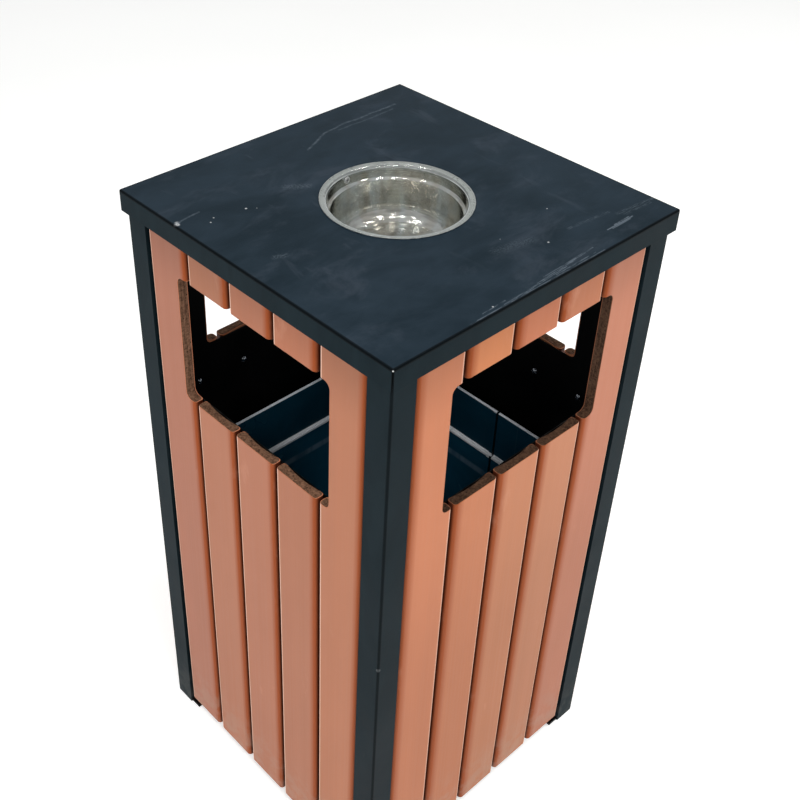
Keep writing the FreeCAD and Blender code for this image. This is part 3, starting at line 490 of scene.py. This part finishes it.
def liner(name):
    """Gloss navy stove enamel; the hem is bare metal under painted highlight, and the ledge line is painted highlight.
    """
    g = Graph(name)
    cloud = g.noise(g.P, 9.0, 4.0, 0.6, 0.5)
    peel = g.noise(g.P, 260.0, 2.0, 0.5)
    base = g.mixc(g.ramp(cloud, 0.3, 0.7), (0.0030, 0.0310, 0.0560), (0.0052, 0.0440, 0.0780))
    reach = g.mx(g.absv(g.x), g.absv(g.y))
    # painted light: the lower inside is lightened to match the one view
    base = g.scale(base, g.add(1.0, g.mul(g.ramp(g.z, 0.388, 0.380), g.lt(reach, 0.1538))))
    drip = g.noise(g.vec(g.mul(g.x, 70.0), g.mul(g.y, 70.0), g.mul(g.z, 4.0)), 1.0, 3.0, 0.6)
    base = g.mixc(g.mul(g.ramp(drip, 0.58, 0.76), 0.14), base, (0.030, 0.050, 0.070))
    # painted reflection of the ledge as a pale line below it, and lighter dust on the floor
    ledge_painted_reflection = g.mul(band(g, g.z, 0.3490, 0.3580, 0.0022), g.ramp(drip, 0.35, 0.60, 0.45, 1.0))
    base = g.mixc(g.mul(ledge_painted_reflection, 0.70), base, (0.16, 0.24, 0.32))
    dust = g.mul(g.ramp(g.nz, 0.5, 0.95), g.mul(g.lt(g.z, 0.034), g.ramp(g.noise(g.P, 30.0, 4.0, 0.6), 0.40, 0.66)))
    base = g.mixc(g.mul(dust, 0.30), base, (0.10, 0.095, 0.085))
    worn = g.noise(g.P, 210.0, 3.0, 0.65)
    cracks = g.noise(g.P, 60.0, 3.0, 0.6)
    # near-white lines: the hem is bare metal edge under painted highlight, the ledge line is painted highlight
    hem = g.mul(g.ramp(g.z, 0.4552, 0.4564), g.ramp(worn, 0.24, 0.40, 0.60, 1.0))
    ledge = g.mul(band(g, g.z, 0.3846, 0.3896, 0.0003), g.ramp(worn, 0.22, 0.42, 0.75, 1.0))
    ledge = g.mul(ledge, g.lt(reach, 0.1580))
    # the lap joint breaks both bright lines; a faint second line runs down beside it
    lap = g.mul(g.gt(g.x, 0.150), band(g, g.y, -0.0378, -0.0350, 0.0004))
    metal = g.mul(g.mx(hem, ledge), g.inv(lap))
    hem_ledge_bare_and_highlight_colour = g.mixc(g.ramp(g.z, 0.42, 0.44), (0.94, 0.96, 0.99), (0.86, 0.91, 0.98))
    base = g.mixc(metal, base, hem_ledge_bare_and_highlight_colour)
    base = g.mixc(g.mul(lap, 0.9), base, (0.0008, 0.0010, 0.0012))
    second = g.mul(g.gt(g.x, 0.150), band(g, g.y, -0.0700, -0.0690, 0.0004))
    base = g.mixc(g.mul(g.mul(second, g.ramp(g.z, 0.28, 0.36)), 0.30), base, (0.05, 0.075, 0.10))
    # painted glint on the ledge beside the lap joint
    ledge_painted_glint = g.near(0.1550, -0.0352, 0.3872, 0.0012, 0.0026)
    base = g.mixc(ledge_painted_glint, base, (0.85, 0.88, 0.92))
    base = g.mixc(g.mul(g.ramp(cracks, 0.66, 0.74), 0.25), base, (0.05, 0.06, 0.07))
    r = g.mixf(g.ramp(cloud, 0.3, 0.7), 0.16, 0.28)
    r = g.mixf(metal, r, 0.30)
    return g.set(base=base, rough=r, spec=0.28, metal=g.mul(metal, 0.12), normal=g.bump(peel, 0.08, 0.0004))


MATS = {
    "cover_coat": satin_coat("cover_coat", True),
    "post_coat": satin_coat("post_coat", False),
    "inner_coat": matt_inner("inner_coat"),
    "zinc_fasteners": bright_zinc("zinc_fasteners"),
    "polished_stainless": polished_steel("polished_stainless"),
    "rivet_aluminium": bright_zinc("rivet_aluminium", (0.90, 0.91, 0.92), (0.50, 0.62)),
    "button_zinc": bright_zinc("button_zinc", (0.50, 0.55, 0.62), (0.07, 0.12)),
    "nylon_washer": nylon("nylon_washer"),
    "lock_chrome": chrome("lock_chrome"),
    "liner_coat": liner("liner_coat"),
    "bail_wire": bright_zinc("bail_wire", (0.50, 0.51, 0.52), (0.28, 0.42)),
}
# colour of the five full or lower lengths, then of the three short ones
TINT_FRONT = [(0.493, 0.177, 0.087), (0.469, 0.170, 0.082), (0.464, 0.183, 0.093), (0.460, 0.188, 0.100), (0.458, 0.179, 0.108),
              (0.568, 0.200, 0.079), (0.498, 0.166, 0.080), (0.470, 0.169, 0.084)]
TINT_LEFT = [(0.350, 0.139, 0.087), (0.369, 0.146, 0.084), (0.372, 0.146, 0.085), (0.361, 0.142, 0.081), (0.387, 0.150, 0.081),
             (0.369, 0.146, 0.081), (0.387, 0.145, 0.080), (0.427, 0.153, 0.081)]
TINT_RIGHT = [TINT_FRONT[1], TINT_FRONT[2], TINT_FRONT[0], TINT_FRONT[3], TINT_FRONT[2], TINT_FRONT[6], TINT_FRONT[7], TINT_FRONT[6]]
TINT_DOOR = [TINT_FRONT[2], TINT_FRONT[1], TINT_FRONT[3], TINT_FRONT[2], TINT_FRONT[0], TINT_FRONT[7], TINT_FRONT[6], TINT_FRONT[7]]
# per side: near_low and edge_w place and size the near-edge painted shade; the last three numbers are the far-edge
# painted highlight, the cut ends' painted light gain and the painted shade toward the bottom
SLATS = {
    "front": slat("slat_front", 1.0, 0.0, 0.0, -1.0, 3.0, TINT_FRONT, True, 0.791, 0.0134, 0.62, 0.80, 0.84),
    "left": slat("slat_left", 0.0, -1.0, -1.0, 0.0, 17.0, TINT_LEFT, False, 0.791, 0.0100, 0.90, 1.90, 1.0),
    "right": slat("slat_right", 0.0, 1.0, 1.0, 0.0, 29.0, TINT_RIGHT, True, 0.791, 0.0110, 0.5, 1.3, 0.95),
    "door": slat("slat_door", -1.0, 0.0, 0.0, 1.0, 43.0, TINT_DOOR, False, 0.770, 0.0110, 0.5, 1.3, 0.95),
}
for part in frame["record"]["subparts"]:
    o = NODES[part["node"]]
    slot = part["material_slot"]
    # small button heads, brighter than the rest
    if part["node"].endswith("_slat_screws"):
        slot = "button_zinc"
    mat = SLATS[part["node"].split("_")[0]] if slot == "slat_composite" else MATS[slot]
    o.data.materials.clear()
    o.data.materials.append(mat)
    for poly in o.data.polygons:
        poly.material_index = 0


# ---------------------------------------------------------------------------
# floor, light, camera
# ---------------------------------------------------------------------------
def floor_material():
    g = Graph("studio_floor")
    a = g.noise(g.P, 1.3, 3.0, 0.5)
    b = g.noise(g.P, 160.0, 2.0, 0.6)
    base = g.mixc(g.ramp(a, 0.3, 0.7), (0.88, 0.88, 0.875), (0.91, 0.91, 0.905))
    g.bsdf.inputs["Emission Color"].default_value = (1.0, 1.0, 1.0, 1.0)
    g.bsdf.inputs["Emission Strength"].default_value = 0.42
    return g.set(base=base, rough=0.80, spec=0.15, normal=g.bump(b, 0.05, 0.0005))


bpy.ops.mesh.primitive_circle_add(vertices=96, radius=9.0, fill_type="NGON", location=(0, 0, -0.0004))
ground = bpy.context.object
ground.name = "studio_floor"
ground.data.materials.append(floor_material())

world = bpy.data.worlds.new("studio")
bpy.context.scene.world = world
world.use_nodes = True
wt = world.node_tree
wt.nodes.clear()
wo = wt.nodes.new("ShaderNodeOutputWorld")
wb = wt.nodes.new("ShaderNodeBackground")
wt.links.new(wb.outputs[0], wo.inputs[0])


class Sky(Graph):
    def __init__(self, tree):
        self.t = tree
        tc = tree.nodes.new("ShaderNodeTexCoord")
        self.P = tc.outputs["Generated"]
        self.x, self.y, self.z = self.xyz(self.P)


k = Sky(wt)
az = k.m("ARCTAN2", k.y, k.x)
# pale at the horizon, greyer overhead, with a dim hall ceiling between soft panels
sky = k.mixc(k.ramp(k.z, 0.04, 0.40), (0.98, 0.985, 0.99), (0.40, 0.405, 0.40))
wall = k.mul(band(k, k.z, 0.16, 0.60, 0.05), k.ramp(k.m("SINE", k.add(k.mul(az, 5.0), 0.6)), -0.15, 0.55))
sky = k.mixc(k.mul(wall, 0.40), sky, (0.075, 0.070, 0.060))
cloud = k.noise(k.P, 2.6, 3.0, 0.6)
sky = k.mixc(k.mul(k.ramp(cloud, 0.46, 0.66), k.ramp(k.z, 0.35, 0.7, 0.0, 0.32)), sky, (0.07, 0.073, 0.078))
window = k.mul(band(k, az, 0.30, 1.30, 0.20), band(k, k.z, 0.36, 0.80, 0.10))
sky = k.mixc(k.mul(window, 0.85), sky, (0.47, 0.50, 0.49))
wt.links.new(sky, wb.inputs[0])
wb.inputs[1].default_value = 0.95


def area(name, loc, target, size, power, colour=(1, 1, 1), shape="SQUARE"):
    d = bpy.data.lights.new(name, "AREA")
    d.shape = shape
    d.size = size
    d.energy = power
    d.color = colour
    o = bpy.data.objects.new(name, d)
    bpy.context.scene.collection.objects.link(o)
    o.location = loc
    o.rotation_mode = "QUATERNION"
    o.rotation_quaternion = (Vector(target) - Vector(loc)).to_track_quat("-Z", "Y")
    o.visible_camera = False
    return o


key = area("key", (2.3, -1.9, 1.9), (0, 0, 0.45), 1.6, 43.0, (1.0, 0.985, 0.96))
fill = area("fill", (-2.4, 0.9, 1.6), (0, 0, 0.45), 2.0, 24.0, (0.96, 0.98, 1.0))
# two high lights that reach in through the front and left openings
high_a = area("high_a", (-0.8, -2.1, 3.0), (0.05, -0.10, 0.55), 0.6, 24.0, (1.0, 0.99, 0.97))
high_b = area("high_b", (-2.1, -0.8, 3.0), (-0.10, 0.05, 0.55), 0.6, 20.0, (0.98, 0.99, 1.0))
for o in (key, fill, high_a, high_b):
    o.visible_glossy = False
lamps = [(-0.9, -0.4), (-0.3, -0.5), (0.35, -0.55), (1.0, -0.35), (-0.75, 0.55), (-0.1, 0.65), (0.6, 0.6), (1.2, 0.35),
         (-1.3, 0.15), (0.1, -1.2), (-0.9, -1.25)]
for i, (lx, ly) in enumerate(lamps):
    area("lamp_%02d" % i, (lx, ly, 3.0), (lx * 0.3, ly * 0.3, 0.8), 0.085, 1.3, (1.0, 0.97, 0.92), "DISK")

cam_data = bpy.data.cameras.new("camera")
cam_data.sensor_width = 36.0
cam_data.sensor_fit = "HORIZONTAL"
cam_data.lens = 52.5335
cam_data.shift_x = 0.08125
cam_data.shift_y = -0.08125
cam_data.clip_start = 0.05
cam_data.clip_end = 60.0
cam = bpy.data.objects.new("camera", cam_data)
bpy.context.scene.collection.objects.link(cam)
cam.location = (-0.73893, -0.72199, 1.37794)
cam.rotation_mode = "QUATERNION"
cam.rotation_quaternion = Quaternion((0.832773, 0.422791, -0.166504, -0.316248))
bpy.context.scene.camera = cam

vs = bpy.context.scene.view_settings
vs.view_transform = "Standard"
vs.look = "None"
vs.exposure = 0.0
vs.gamma = 1.0
